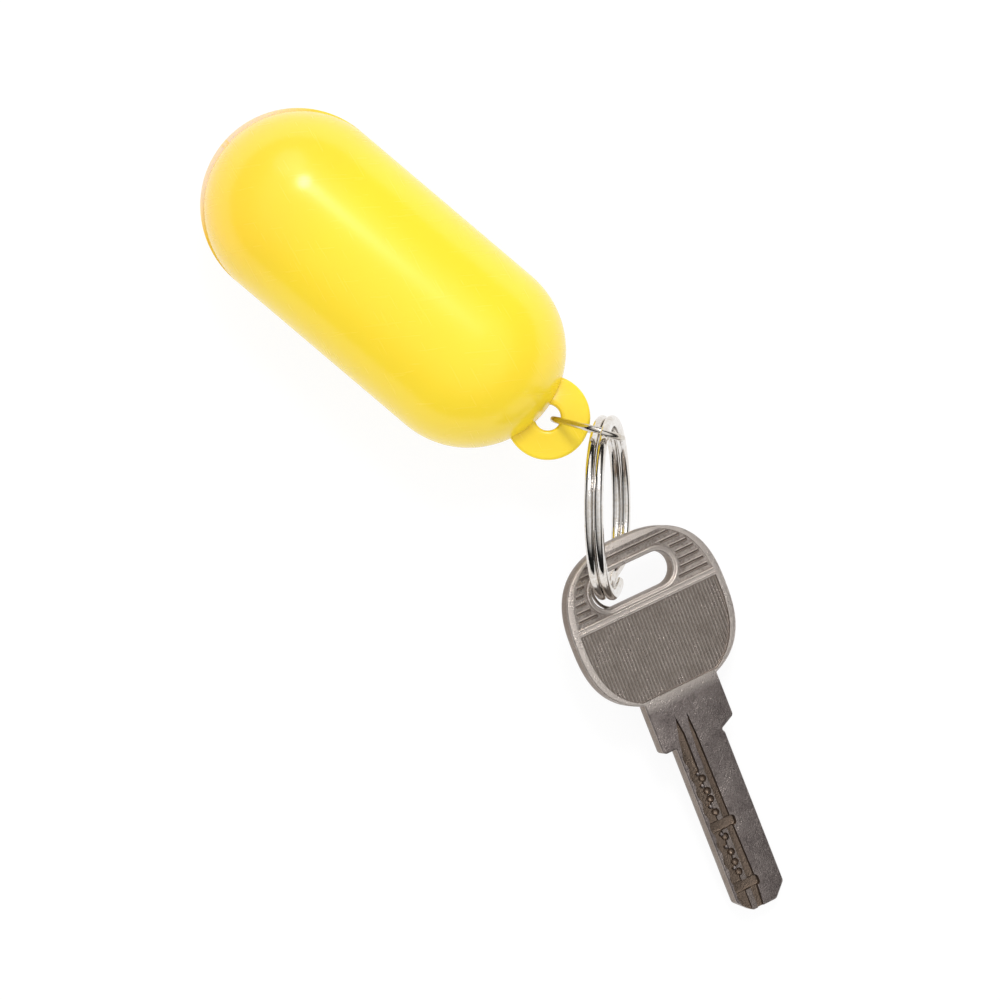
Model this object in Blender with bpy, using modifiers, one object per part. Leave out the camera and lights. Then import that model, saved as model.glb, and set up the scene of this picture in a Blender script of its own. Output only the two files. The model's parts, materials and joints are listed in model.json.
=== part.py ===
"""Floating keychain: a hollow float in two halves, an oval link, a split ring and a key.

Metres, +Z up. The part lies on a table at z = 0, with the float's long axis along X. The link
passes through the float's lug and round the split ring, and the key hangs on the ring.
"""
import math

import bmesh
import bpy
from mathutils import Matrix, Vector

# Float
FLOAT_DIAMETER = 0.0265
FLOAT_LENGTH = 0.0570
FLOAT_WALL = 0.0016
FAR_STEP = 0.0007
SEAM_GAP = 0.0003
LIP_HEIGHT = 0.0012
LIP_THICKNESS = 0.0007
LIP_CLEARANCE = 0.0003

# Lug, the flat eye moulded on the lower half's end
LUG_DIAMETER = 0.01156
LUG_HOLE_DIAMETER = 0.00354
LUG_THICKNESS = 0.0020
LUG_EDGE = 0.0004
LUG_REACH = 0.00085
LUG_CLEARANCE = 0.0003
LUG_X = -0.0047
LUG_Y = 0.01065

# Connecting link, an oval of round wire in one upright plane
LINK_WIRE = 0.0009
LINK_BEND_RADIUS = 0.00255
LINK_HEADING = math.radians(24.2)
LINK_REACH = 0.0036
LINK_JOINT = math.radians(35)
LINK_JOINT_GAP = math.radians(5)

# Split ring, two coils of flat wire
RING_DIAMETER = 0.0252
RING_BAND = 0.0016
RING_COIL = 0.0012
RING_COIL_GAP = 0.0001
RING_BAND_ROUND = 0.0003
RING_LEAN = math.radians(10.6)
RING_HEADING = math.radians(130.3)
RING_CROSSING = math.radians(70.0)
RING_CROSSING_SPAN = math.radians(14.0)
LINK_ON_RING = math.radians(30.0)
KEY_ON_RING = math.radians(190.0)

# Key
KEY_THICKNESS = 0.0023
KEY_LENGTH = 0.0552
KEY_HEADING = math.radians(-28.1)
KEY_ROLL = math.radians(20.0)
KEY_LIFT = 0.00005
BOW_WIDTH = 0.0240
BOW_LENGTH = 0.0234
BOW_SQUARENESS = 2.6
SHANK_WIDTH = 0.0117
SHANK_LEFT_END = 0.0300
SHANK_RIGHT_END = 0.0291
SHANK_STEP_END = 0.0302
SHANK_NOTCH = 0.0003
SHANK_CORNER = 0.0006
BLADE_WIDTH = 0.0076
TIP_CHAMFER = 0.0019
TIP_CORNER = 0.0007
SLOT_LENGTH = 0.0128
SLOT_WIDTH = 0.0048
SLOT_X = -0.0008
SLOT_CENTRE = 0.0060
SLOT_RIM = 0.0006
RING_IN_SLOT_X = -0.0033
RING_IN_SLOT_Y = -0.0005
PANEL_BORDER = 0.0011
PANEL_DEPTH = 0.00028
PANEL_SPLIT = 0.0094
SPLIT_BAR = 0.0007
LINE_PITCH = 0.0011
LINE_WIDTH = 0.00035
RIB_PITCH = 0.00058
RIB_WIDTH = 0.00028
RIB_HEIGHT = 0.00018
GROOVE_TOP = 0.0258
GROOVE_RUN_OUT = 0.0045
GROOVE_DEPTH = 0.0006
GROOVE_LEFT = -0.0011
GROOVE_RIGHT = -0.0002
SIDE_GROOVE_LEFT = -0.0034
SIDE_GROOVE_RIGHT = -0.0019
CROSS_CUT_LEFT = -0.0035
CROSS_CUT_RIGHT = 0.0005
CROSS_CUT_LENGTH = 0.0015
CROSS_CUT_DEPTH = 0.0008
CROSS_CUTS = (0.0416, 0.0507)
PIT_X = -0.0019
PIT_DIAMETER = 0.0010
PIT_DEPTH = 0.0007
PIT_SIDES = 12
PITS = (0.0353, 0.0384, 0.0441, 0.0464, 0.0479)

# Fineness of the round shapes
FLOAT_SIDES = 36
CAP_STEPS = 9
ARC_STEP = math.radians(15)
RING_STEP = math.radians(7.5)
LINK_STEP = math.radians(15)
BOW_STEPS = 40
LUG_SIDES = 24
MERGE = 1e-6
TINY = 1e-5

float_radius = FLOAT_DIAMETER / 2
hollow_radius = float_radius - FLOAT_WALL
float_centre_x = LUG_X - LUG_REACH - FLOAT_LENGTH / 2
lug_rim_middle = (LUG_DIAMETER + LUG_HOLE_DIAMETER) / 4


def clear_scene():
    for obj in list(bpy.data.objects):
        bpy.data.objects.remove(obj, do_unlink=True)


def collection(name):
    found = bpy.data.collections.new(name)
    bpy.context.scene.collection.children.link(found)
    return found


def material(name, colour, roughness, metallic):
    made = bpy.data.materials.new(name)
    made.use_nodes = True
    shader = made.node_tree.nodes["Principled BSDF"]
    shader.inputs["Base Color"].default_value = (*colour, 1.0)
    shader.inputs["Roughness"].default_value = roughness
    shader.inputs["Metallic"].default_value = metallic
    return made


def meshed(obj, home):
    """Put a closed mesh object in the place of a curve or a turned profile."""
    bpy.context.view_layer.update()
    seen = obj.evaluated_get(bpy.context.evaluated_depsgraph_get())
    mesh = bpy.data.meshes.new_from_object(seen)
    shape = bmesh.new()
    shape.from_mesh(mesh)
    bmesh.ops.remove_doubles(shape, verts=shape.verts, dist=MERGE)
    bmesh.ops.dissolve_degenerate(shape, edges=shape.edges, dist=MERGE)
    bmesh.ops.recalc_face_normals(shape, faces=shape.faces)
    shape.to_mesh(mesh)
    shape.free()
    name, place = obj.name, obj.matrix_world.copy()
    bpy.data.objects.remove(obj, do_unlink=True)
    made = bpy.data.objects.new(name, mesh)
    made.matrix_world = place
    home.objects.link(made)
    return made


def as_cutter(obj):
    obj.hide_render = True
    obj.display_type = "WIRE"
    return obj


def combine(target, other, operation):
    step = target.modifiers.new(f"{operation} {other.name}", "BOOLEAN")
    step.operation = operation
    step.object = other
    step.solver = "EXACT"


def rounded(corners):
    """A closed outline from (x, y, radius) corners, each rounded by an arc."""
    outline = []
    count = len(corners)
    for number, (x, y, radius) in enumerate(corners):
        here = Vector((x, y))
        before = (Vector(corners[number - 1][:2]) - here).normalized()
        after = (Vector(corners[(number + 1) % count][:2]) - here).normalized()
        half_angle = before.angle(after) / 2
        turn = math.pi - 2 * half_angle
        if radius <= 0 or turn < TINY:
            outline.append(here)
            continue
        centre = here + (before + after).normalized() * (radius / math.sin(half_angle))
        start = here + before * (radius / math.tan(half_angle)) - centre
        sign = 1 if before.cross(after) < 0 else -1
        steps = max(1, round(turn / ARC_STEP))
        for step in range(steps + 1):
            bend = Matrix.Rotation(sign * turn * step / steps, 2)
            outline.append(centre + bend @ start)
    return outline


def plate(name, outline, low, high, home):
    """A flat plate of the given outline, from z = low to z = high."""
    data = bpy.data.curves.new(name, "CURVE")
    data.dimensions = "2D"
    data.fill_mode = "BOTH"
    data.extrude = (high - low) / 2
    line = data.splines.new("POLY")
    line.points.add(len(outline) - 1)
    for point, place in zip(line.points, outline):
        point.co = (place[0], place[1], 0, 1)
    line.use_cyclic_u = True
    obj = bpy.data.objects.new(name, data)
    obj.location = (0, 0, (low + high) / 2)
    home.objects.link(obj)
    return meshed(obj, home)


def block(name, low, high, home):
    """A box between two corners."""
    shape = bmesh.new()
    bmesh.ops.create_cube(shape, size=1)
    for vert in shape.verts:
        for axis in range(3):
            vert.co[axis] = high[axis] if vert.co[axis] > 0 else low[axis]
    mesh = bpy.data.meshes.new(name)
    shape.to_mesh(mesh)
    shape.free()
    obj = bpy.data.objects.new(name, mesh)
    home.objects.link(obj)
    return obj


def drum(name, diameter, depth, sides, home):
    """An upright cylinder centred on its origin."""
    shape = bmesh.new()
    bmesh.ops.create_cone(
        shape, cap_ends=True, segments=sides, depth=depth,
        radius1=diameter / 2, radius2=diameter / 2,
    )
    mesh = bpy.data.meshes.new(name)
    shape.to_mesh(mesh)
    shape.free()
    obj = bpy.data.objects.new(name, mesh)
    home.objects.link(obj)
    return obj


def capsule(name, radius, far_step, home):
    """A round-ended bar about the float's axis, stopping far_step short at its far end."""
    half = FLOAT_LENGTH / 2 - float_radius
    arc = []
    for step in range(CAP_STEPS + 1):
        angle = math.pi / 2 * step / CAP_STEPS
        arc.append((radius * math.cos(angle), radius * math.sin(angle)))
    profile = [(far_step - half - x, z) for x, z in arc]
    profile += [(half + x, z) for x, z in reversed(arc)]
    mesh = bpy.data.meshes.new(name)
    edges = [(n, n + 1) for n in range(len(profile) - 1)]
    mesh.from_pydata([(x, 0, z) for x, z in profile], edges, [])
    obj = bpy.data.objects.new(name, mesh)
    obj.location = (float_centre_x, LUG_Y, float_radius)
    home.objects.link(obj)
    turn = obj.modifiers.new("turn", "SCREW")
    turn.axis = "X"
    turn.steps = FLOAT_SIDES
    turn.render_steps = FLOAT_SIDES
    turn.use_merge_vertices = True
    turn.merge_threshold = TINY
    return meshed(obj, home)


def half_room(name, low, high, home):
    """A box that holds the whole float between two heights over the seam."""
    reach = FLOAT_LENGTH + LUG_DIAMETER
    return as_cutter(block(
        name,
        (float_centre_x - reach, LUG_Y - reach, float_radius + low),
        (float_centre_x + reach, LUG_Y + reach, float_radius + high),
        home,
    ))


def lug(name, extra, home):
    """The flat eye on the float's end, its edges rounded, made larger all round by extra."""
    disc = drum(name, LUG_DIAMETER + 2 * extra, LUG_THICKNESS + 2 * extra, LUG_SIDES, home)
    disc.location = (LUG_X, LUG_Y, float_radius)
    soften = disc.modifiers.new("edge", "BEVEL")
    soften.width = LUG_EDGE
    soften.segments = 2
    soften.limit_method = "ANGLE"
    soften.harden_normals = False
    return as_cutter(disc)


def lug_hole(name, home):
    hole = drum(name, LUG_HOLE_DIAMETER, 2 * LUG_THICKNESS, LUG_SIDES, home)
    hole.location = (LUG_X, LUG_Y, float_radius)
    return as_cutter(hole)


def upper_shell(plastic, parts, cutters):
    """The float's upper half, a step shorter at the far end and notched where the lug passes."""
    shell = capsule("float_upper_shell", float_radius, FAR_STEP, parts)
    shell.data.materials.append(plastic)
    combine(shell, half_room("below upper", -FLOAT_DIAMETER, SEAM_GAP / 2, cutters), "DIFFERENCE")
    hollow = as_cutter(capsule("upper hollow", hollow_radius, FAR_STEP, cutters))
    combine(shell, hollow, "DIFFERENCE")
    combine(shell, lug("lug notch", LUG_CLEARANCE, cutters), "DIFFERENCE")
    return shell


def lower_shell(plastic, parts, cutters):
    """The float's lower half, with the whole lug and the lip that locates the upper half."""
    shell = capsule("float_lower_shell", float_radius, 0, parts)
    shell.data.materials.append(plastic)
    combine(shell, half_room("over lower", -SEAM_GAP / 2, FLOAT_DIAMETER, cutters), "DIFFERENCE")
    lip_radius = hollow_radius - LIP_CLEARANCE
    tongue = as_cutter(capsule("lip", lip_radius, FAR_STEP, cutters))
    combine(tongue, half_room("over lip", LIP_HEIGHT, FLOAT_DIAMETER, cutters), "DIFFERENCE")
    combine(shell, tongue, "UNION")
    combine(shell, lug("lug", 0, cutters), "UNION")
    combine(shell, lug_hole("lug hole", cutters), "DIFFERENCE")
    hollow = as_cutter(capsule("lower hollow", hollow_radius, 0, cutters))
    combine(hollow, half_room("lip foot", -LIP_HEIGHT, FLOAT_DIAMETER, cutters), "DIFFERENCE")
    bore = as_cutter(capsule("lip bore", lip_radius - LIP_THICKNESS, FAR_STEP, cutters))
    combine(hollow, bore, "UNION")
    combine(shell, hollow, "DIFFERENCE")
    return shell


def ring_frame():
    """The split ring's centre, and its level, rising and axial directions."""
    level = Vector((math.cos(RING_HEADING), math.sin(RING_HEADING), 0))
    leaning = Vector((0, 0, 1)).cross(level)
    rising = Vector((0, 0, math.cos(RING_LEAN))) + leaning * math.sin(RING_LEAN)
    axial = level.cross(rising)
    pack = 2 * RING_COIL + RING_COIL_GAP
    height = RING_DIAMETER / 2 * math.cos(RING_LEAN) + pack / 2 * math.sin(RING_LEAN)
    heading = Vector((math.cos(LINK_HEADING), math.sin(LINK_HEADING), 0))
    held = Vector((LUG_X, LUG_Y, height)) + heading * (lug_rim_middle + LINK_REACH)
    centre = held - on_ring(Vector(), level, rising, LINK_ON_RING)
    centre.z = height
    return centre, level, rising, axial


def on_ring(centre, level, rising, clock):
    """The middle of the ring's band at an angle round it, from its level direction."""
    middle = (RING_DIAMETER - RING_BAND) / 2
    return centre + (level * math.cos(clock) + rising * math.sin(clock)) * middle


def wire(name, points, depth, sides, home):
    """A round wire along points."""
    data = bpy.data.curves.new(name, "CURVE")
    data.dimensions = "3D"
    data.bevel_depth = depth / 2
    data.bevel_resolution = sides
    data.use_fill_caps = True
    line = data.splines.new("POLY")
    line.points.add(len(points) - 1)
    for point, place in zip(line.points, points):
        point.co = (*place, 1)
    obj = bpy.data.objects.new(name, data)
    home.objects.link(obj)
    return obj


def connecting_link(steel, parts):
    """An oval of round wire, one bend round the lug's rim and one round the ring's two coils."""
    heading = Vector((math.cos(LINK_HEADING), math.sin(LINK_HEADING), 0))
    centre, level, rising, _ = ring_frame()
    near = Vector((LUG_X, LUG_Y, float_radius)) + heading * lug_rim_middle
    far = on_ring(centre, level, rising, LINK_ON_RING)
    along = (far - near).normalized()
    across = along.cross(Vector((0, 0, 1)).cross(heading)).normalized()
    radius = LINK_BEND_RADIUS + LINK_WIRE / 2
    quarter = math.pi / 2
    bends = (
        (far, LINK_JOINT + LINK_JOINT_GAP / 2, quarter),
        (near, quarter, 3 * quarter),
        (far, 3 * quarter, 4 * quarter + LINK_JOINT - LINK_JOINT_GAP / 2),
    )
    points = []
    for middle, start, end in bends:
        steps = max(1, round((end - start) / LINK_STEP))
        for step in range(steps + 1):
            angle = start + (end - start) * step / steps
            points.append(middle + (along * math.cos(angle) + across * math.sin(angle)) * radius)
    link = wire("connecting_link", points, LINK_WIRE, 2, parts)
    link.data.materials.append(steel)
    return link


def split_ring(steel, parts, cutters):
    """Two coils of flat wire side by side, with one crossing between them."""
    centre, level, rising, axial = ring_frame()
    half_band, half_coil = RING_BAND / 2, RING_COIL / 2
    section = bpy.data.curves.new("ring section", "CURVE")
    section.dimensions = "2D"
    side = section.splines.new("POLY")
    cut = RING_BAND_ROUND
    corners = [
        (half_band - cut, half_coil), (half_band, half_coil - cut),
        (half_band, cut - half_coil), (half_band - cut, -half_coil),
        (cut - half_band, -half_coil), (-half_band, cut - half_coil),
        (-half_band, half_coil - cut), (cut - half_band, half_coil),
    ]
    side.points.add(len(corners) - 1)
    for point, (x, y) in zip(side.points, corners):
        point.co = (x, y, 0, 1)
    side.use_cyclic_u = True
    guide = as_cutter(bpy.data.objects.new("ring section", section))
    cutters.objects.link(guide)
    first = RING_CROSSING_SPAN + half_coil / RING_DIAMETER
    last = 4 * math.pi - first
    steps = round((last - first) / RING_STEP)
    middle = (RING_DIAMETER - RING_BAND) / 2
    pitch = RING_COIL + RING_COIL_GAP
    points = []
    for step in range(steps + 1):
        angle = first + (last - first) * step / steps
        through = (angle - 2 * math.pi) / RING_CROSSING_SPAN
        rise = math.sin(math.pi / 2 * max(-1.0, min(1.0, through)))
        clock = angle + RING_CROSSING
        points.append((middle * math.cos(clock), middle * math.sin(clock), pitch / 2 * rise))
    ring = wire("split_ring", points, 0, 0, parts)
    ring.data.bevel_mode = "OBJECT"
    ring.data.bevel_object = guide
    ring.data.twist_mode = "Z_UP"
    ring.matrix_world = Matrix.Translation(centre) @ Matrix(
        (level, rising, axial)).transposed().to_4x4()
    ring = meshed(ring, parts)
    ring.data.materials.append(steel)
    return ring


def bow_edge(inset):
    """The bow's squared round from the left of its foot over the top to the right, moved in."""
    half_width, half_length = BOW_WIDTH / 2 - inset, BOW_LENGTH / 2 - inset
    power = 2 / BOW_SQUARENESS
    foot = math.acos(((SHANK_WIDTH / 2 - inset) / half_width) ** (1 / power))
    start, end = math.pi + foot, -foot
    edge = []
    for step in range(BOW_STEPS + 1):
        angle = start + (end - start) * step / BOW_STEPS
        across, up = math.cos(angle), math.sin(angle)
        x = math.copysign(abs(across) ** power, across) * half_width
        y = math.copysign(abs(up) ** power, up) * half_length
        edge.append((x, y - BOW_LENGTH / 2, 0))
    return edge


def key_outline():
    """The key's outline: bow, shoulder with its slanted step, and blade to the chamfered tip."""
    shank, blade = SHANK_WIDTH / 2, BLADE_WIDTH / 2
    return rounded(bow_edge(0) + [
        (shank, -SHANK_RIGHT_END, SHANK_CORNER),
        (blade - SHANK_NOTCH, -SHANK_STEP_END, SHANK_NOTCH),
        (blade, -SHANK_STEP_END - SHANK_CORNER, SHANK_NOTCH),
        (blade, TIP_CHAMFER - KEY_LENGTH, TIP_CORNER),
        (blade - TIP_CHAMFER, -KEY_LENGTH, TIP_CORNER),
        (TIP_CHAMFER - blade, -KEY_LENGTH, TIP_CORNER),
        (-blade, TIP_CHAMFER - KEY_LENGTH, TIP_CORNER),
        (-blade, -SHANK_LEFT_END, SHANK_NOTCH),
        (-shank, -SHANK_LEFT_END, SHANK_CORNER),
    ])


def slot_outline(extra):
    """The slot in the bow, made larger all round by extra."""
    half_length, half_width = SLOT_LENGTH / 2 + extra, SLOT_WIDTH / 2 + extra
    return rounded([
        (SLOT_X + x * half_length, -SLOT_CENTRE + y * half_width, half_width - TINY)
        for x, y in ((1, 1), (1, -1), (-1, -1), (-1, 1))
    ])


def panel_outline():
    """The sunk field inside the bow's border."""
    return rounded(bow_edge(PANEL_BORDER))


def joined(name, pieces, home):
    """Separate closed pieces as one mesh object."""
    shape = bmesh.new()
    for piece in pieces:
        shape.from_mesh(piece.data)
        bpy.data.objects.remove(piece, do_unlink=True)
    mesh = bpy.data.meshes.new(name)
    shape.to_mesh(mesh)
    shape.free()
    obj = bpy.data.objects.new(name, mesh)
    home.objects.link(obj)
    return obj


def raised_lines(name, home):
    """Fine lines across the bow's head and ribs down its body, with the bar between them."""
    half = BOW_WIDTH / 2
    floor = KEY_THICKNESS / 2 - PANEL_DEPTH
    low, high = floor - PANEL_DEPTH, floor + RIB_HEIGHT
    pieces = []
    for number in range(int((PANEL_SPLIT - PANEL_BORDER) / LINE_PITCH) - 1):
        middle = -PANEL_BORDER - LINE_PITCH * (number + 1)
        pieces.append(block(
            "line", (-half, middle - LINE_WIDTH / 2, low),
            (half, middle + LINE_WIDTH / 2, high), home,
        ))
    top = -PANEL_SPLIT
    pieces.append(block(
        "bar", (-half, top - SPLIT_BAR, low), (half, top, high + TINY), home,
    ))
    reach = int((half - PANEL_BORDER) / RIB_PITCH)
    for number in range(-reach, reach + 1):
        middle = number * RIB_PITCH
        pieces.append(block(
            "rib", (middle - RIB_WIDTH / 2, -BOW_LENGTH, low),
            (middle + RIB_WIDTH / 2, top - SPLIT_BAR - RIB_WIDTH, high), home,
        ))
    return as_cutter(joined(name, pieces, home))


def key_relief(name, cutters):
    """What is pressed and milled out of one face of the key, seen from +Z."""
    face = KEY_THICKNESS / 2
    sunk = plate(f"{name} field", panel_outline(), face - PANEL_DEPTH, face + PANEL_DEPTH, cutters)
    rim = plate(f"{name} slot rim", slot_outline(SLOT_RIM), 0, KEY_THICKNESS, cutters)
    for kept in (raised_lines(f"{name} lines", cutters), as_cutter(rim)):
        combine(sunk, kept, "DIFFERENCE")
        kept.parent = sunk
        kept.matrix_parent_inverse = sunk.matrix_world.inverted()
    return as_cutter(sunk)


def groove(name, left, right, cutters):
    """A long milled groove that runs out to a point at its top and leaves by the tip."""
    middle = (left + right) / 2
    outline = [
        (middle, -GROOVE_TOP), (right, -GROOVE_TOP - GROOVE_RUN_OUT),
        (right, -KEY_LENGTH - GROOVE_DEPTH), (left, -KEY_LENGTH - GROOVE_DEPTH),
        (left, -GROOVE_TOP - GROOVE_RUN_OUT),
    ]
    face = KEY_THICKNESS / 2
    return as_cutter(plate(name, outline, face - GROOVE_DEPTH, face + GROOVE_DEPTH, cutters))


def cross_cut(name, place, cutters):
    """A short cut across the grooves, starting at a distance below the key's top."""
    face = KEY_THICKNESS / 2
    return as_cutter(block(
        name, (CROSS_CUT_LEFT, -place - CROSS_CUT_LENGTH, face - CROSS_CUT_DEPTH),
        (CROSS_CUT_RIGHT, -place, face + CROSS_CUT_DEPTH), cutters,
    ))


def pit(name, place, cutters):
    """A drilled dimple between the grooves."""
    hole = drum(name, PIT_DIAMETER, 2 * PIT_DEPTH, PIT_SIDES, cutters)
    hole.location = (PIT_X, -place, KEY_THICKNESS / 2)
    return as_cutter(hole)


def key_matrix():
    """The key's place: held in its slot by the ring, with the tip's corner on the table."""
    centre, level, rising, _ = ring_frame()
    held = on_ring(centre, level, rising, KEY_ON_RING)
    grip = Vector((SLOT_X + RING_IN_SLOT_X, RING_IN_SLOT_Y - SLOT_CENTRE, 0))
    corner = Vector((BLADE_WIDTH / 2, TIP_CHAMFER - KEY_LENGTH, -KEY_THICKNESS / 2))
    down = math.sin(KEY_ROLL)
    upright = math.cos(KEY_ROLL)
    drop = held.z - KEY_LIFT - down * (corner.x - grip.x) + upright * corner.z
    pitch = drop / (grip.y - corner.y)
    up = Vector((-down, pitch, math.sqrt(1 - down ** 2 - pitch ** 2)))
    tilt = up.rotation_difference(Vector((0, 0, 1))).to_matrix()
    tipward = tilt @ Vector((0, -1, 0))
    turn = KEY_HEADING - math.atan2(tipward.y, tipward.x)
    frame = Matrix.Rotation(turn, 3, "Z") @ tilt
    return Matrix.Translation(held - frame @ grip) @ frame.to_4x4()


def key(nickel, parts, cutters):
    """The key: blank, slot, sunk and lined bow, milled blade, alike on both faces."""
    face = KEY_THICKNESS / 2
    blank = plate("key", key_outline(), -face, face, parts)
    blank.data.materials.append(nickel)
    tools = [as_cutter(plate("key slot", slot_outline(0), -KEY_THICKNESS, KEY_THICKNESS, cutters))]
    for side, turned in (("front", 0), ("back", math.pi)):
        relief = [
            key_relief(f"key {side}", cutters),
            groove(f"key {side} groove", GROOVE_LEFT, GROOVE_RIGHT, cutters),
            groove(f"key {side} side groove", SIDE_GROOVE_LEFT, SIDE_GROOVE_RIGHT, cutters),
        ]
        relief += [
            cross_cut(f"key {side} cross cut {number}", place, cutters)
            for number, place in enumerate(CROSS_CUTS)
        ]
        relief += [
            pit(f"key {side} pit {number}", place, cutters)
            for number, place in enumerate(PITS)
        ]
        bpy.context.view_layer.update()
        for tool in relief:
            tool.matrix_world = Matrix.Rotation(turned, 4, "Y") @ tool.matrix_world
        tools += relief
    for tool in tools:
        combine(blank, tool, "DIFFERENCE")
    carrier = bpy.data.objects.new("key place", None)
    parts.objects.link(carrier)
    blank.parent = carrier
    for tool in cutters.objects:
        if tool.name.startswith("key") and tool.parent is None:
            tool.parent = carrier
    carrier.matrix_world = key_matrix()
    return blank


def smooth(obj):
    if obj.type == "MESH":
        obj.data.shade_smooth()
        obj.data.set_sharp_from_angle(angle=math.radians(30))


def main():
    clear_scene()
    parts = collection("floating_keychain")
    cutters = collection("cutters")
    plastic = material("yellow plastic", (1.0, 0.78, 0.03), 0.25, 0.0)
    steel = material("plated steel", (0.62, 0.60, 0.57), 0.18, 1.0)
    nickel = material("worn nickel silver", (0.36, 0.32, 0.29), 0.42, 1.0)
    upper_shell(plastic, parts, cutters)
    lower_shell(plastic, parts, cutters)
    connecting_link(steel, parts)
    split_ring(steel, parts, cutters)
    key(nickel, parts, cutters)
    for obj in parts.objects:
        smooth(obj)


main()
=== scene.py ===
"""Looks of the floating keychain: glossy yellow float, plated link and split ring, worn key.

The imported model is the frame. Each piece below stands for one of its nodes, at the same place.
"""
import json
import math

import bmesh
import bpy
from mathutils import Matrix, Vector


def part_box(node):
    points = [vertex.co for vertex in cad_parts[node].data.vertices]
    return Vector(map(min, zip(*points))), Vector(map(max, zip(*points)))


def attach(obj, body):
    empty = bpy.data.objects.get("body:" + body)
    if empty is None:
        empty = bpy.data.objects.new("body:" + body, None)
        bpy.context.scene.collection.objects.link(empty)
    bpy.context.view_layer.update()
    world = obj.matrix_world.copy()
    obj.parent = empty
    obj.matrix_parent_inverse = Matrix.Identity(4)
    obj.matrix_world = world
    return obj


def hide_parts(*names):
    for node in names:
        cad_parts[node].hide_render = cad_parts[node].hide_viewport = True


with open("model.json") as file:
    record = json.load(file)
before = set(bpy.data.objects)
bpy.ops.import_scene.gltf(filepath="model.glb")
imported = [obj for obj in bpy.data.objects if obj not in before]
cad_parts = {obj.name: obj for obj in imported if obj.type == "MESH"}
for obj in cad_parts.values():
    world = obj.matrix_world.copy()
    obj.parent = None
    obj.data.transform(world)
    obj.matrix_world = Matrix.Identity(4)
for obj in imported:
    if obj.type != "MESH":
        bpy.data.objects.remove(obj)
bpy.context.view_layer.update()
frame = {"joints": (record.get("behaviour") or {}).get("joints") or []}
joint_at = {joint["name"]: Vector(joint["pos_m"]) for joint in frame["joints"]}

# The float, from its nodes' boxes
upper_low, upper_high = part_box("float_upper_shell")
lower_low, lower_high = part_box("float_lower_shell")
float_radius = upper_high.z / 2
float_y = (lower_low.y + lower_high.y) / 2
FLOAT_WALL = 0.0016
FLOAT_SEGMENTS = 160
FLOAT_RINGS = 80
BODY_CUTS = 12
SEAM_GAP = 0.00012
SEAM_ROUND = 0.00018

# The lug
LUG_REACH = 0.00085
LUG_RADIUS = 0.00578
LUG_HOLE = 0.00177
LUG_BOSS = 0.0029
LUG_BOSS_RISE = 0.00012
LUG_THICKNESS = 0.0020
LUG_EDGE = 0.00045
LUG_SIDES = 128
LUG_NOTCH = 0.0001

# The link
LINK_WIRE = 0.0009
LINK_BEND_RADIUS = 0.00255
LINK_HEADING = math.radians(24.2)
LINK_JOINT = math.radians(35)
LINK_JOINT_GAP = math.radians(3)
LINK_SPREAD = 0.00008
LINK_SPREAD_REACH = math.radians(60)
LINK_STEP = math.radians(4)

# The split ring
RING_RADIUS = 0.0126
RING_BAND = 0.0016
RING_COIL = 0.0012
RING_COIL_GAP = 0.0001
RING_EDGE = 0.00054
RING_LEAN = math.radians(10.6)
RING_HEADING = math.radians(130.3)
RING_CROSSING = math.radians(225)
RING_CROSSING_SPAN = math.radians(14)
RING_STEP = math.radians(2)
LINK_ON_RING = math.radians(30)

# The key
KEY_THICKNESS = 0.0023
KEY_LENGTH = 0.0552
KEY_HEADING = math.radians(-28.1)
KEY_ROLL = math.radians(20.0)
KEY_LIFT = 0.00005
KEY_EDGE = 0.00022
BOW_WIDTH = 0.0240
BOW_LENGTH = 0.0234
BOW_SQUARENESS = 2.6
BOW_STEPS = 96
BOW_BORDER = 0.0010
SHANK_WIDTH = 0.0117
SHANK_LEFT_END = 0.0300
SHANK_RIGHT_END = 0.0291
SHANK_STEP_END = 0.0302
SHANK_NOTCH = 0.0003
SHANK_CORNER = 0.0006
BLADE_WIDTH = 0.0076
TIP_CHAMFER = 0.0019
TIP_CORNER = 0.0007
SLOT_LENGTH = 0.0128
SLOT_WIDTH = 0.0048
SLOT_X = -0.0008
SLOT_CENTRE = 0.0060
RING_IN_SLOT_X = -0.0033
RING_IN_SLOT_Y = -0.0005
COLLAR_REACH = 0.00055
COLLAR_RADIUS = 0.00024
HEAD_DEPTH = 0.00012
HEAD_CUT_EDGE = 0.00003
FIELD_DEPTH = 0.00030
FIELD_TOP = 0.0102
FIELD_FOOT = 0.0222
FIELD_CUT_EDGE = 0.00005
BAND_STEPS = 24
BAR_RADIUS = 0.00019
BARS = (0.0093, 0.0099)
LINE_RADIUS = 0.00020
LINE_PITCH = 0.00108
CREST_RADIUS = 0.00012
CREST_SHIFT = 0.00030
LINE_FIRST = 0.0019
LINE_COUNT = 7
RIB_RADIUS = 0.00019
RIB_PITCH = 0.00050
RIB_END_GAP = 0.00022
SINK = 0.00002
GROOVE_TOP = 0.0258
GROOVE_DEPTH = 0.00060
GROOVE_CUT_EDGE = 0.00010
LEFT_GROOVE_TOP = ((-0.0023, -GROOVE_TOP), (-0.0019, -0.0285))
LEFT_GROOVE_SHOULDER = (-0.0031, -0.0292)
LEFT_GROOVE_INNER = -0.0019
LEFT_GROOVE_OUTER = -0.0034
RIGHT_GROOVE_SIDE = (
    (-0.0005, -GROOVE_TOP), (-0.00025, -0.0290), (-0.0001, -0.0420), (0.0001, -0.0510),
)
RIGHT_GROOVE_END = -0.0003
RIGHT_GROOVE_INNER = -0.0011
RIGHT_GROOVE_TOP = ((-0.0011, -0.0310), (-0.0009, -0.0280))
LAND_LEFT = -0.0021
LAND_RIGHT = -0.0009
LAND_TOP = 0.0340
LAND_DEPTH = 0.00024
BUMP_X = -0.00213
BUMP_RADIUS = 0.00036
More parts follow.
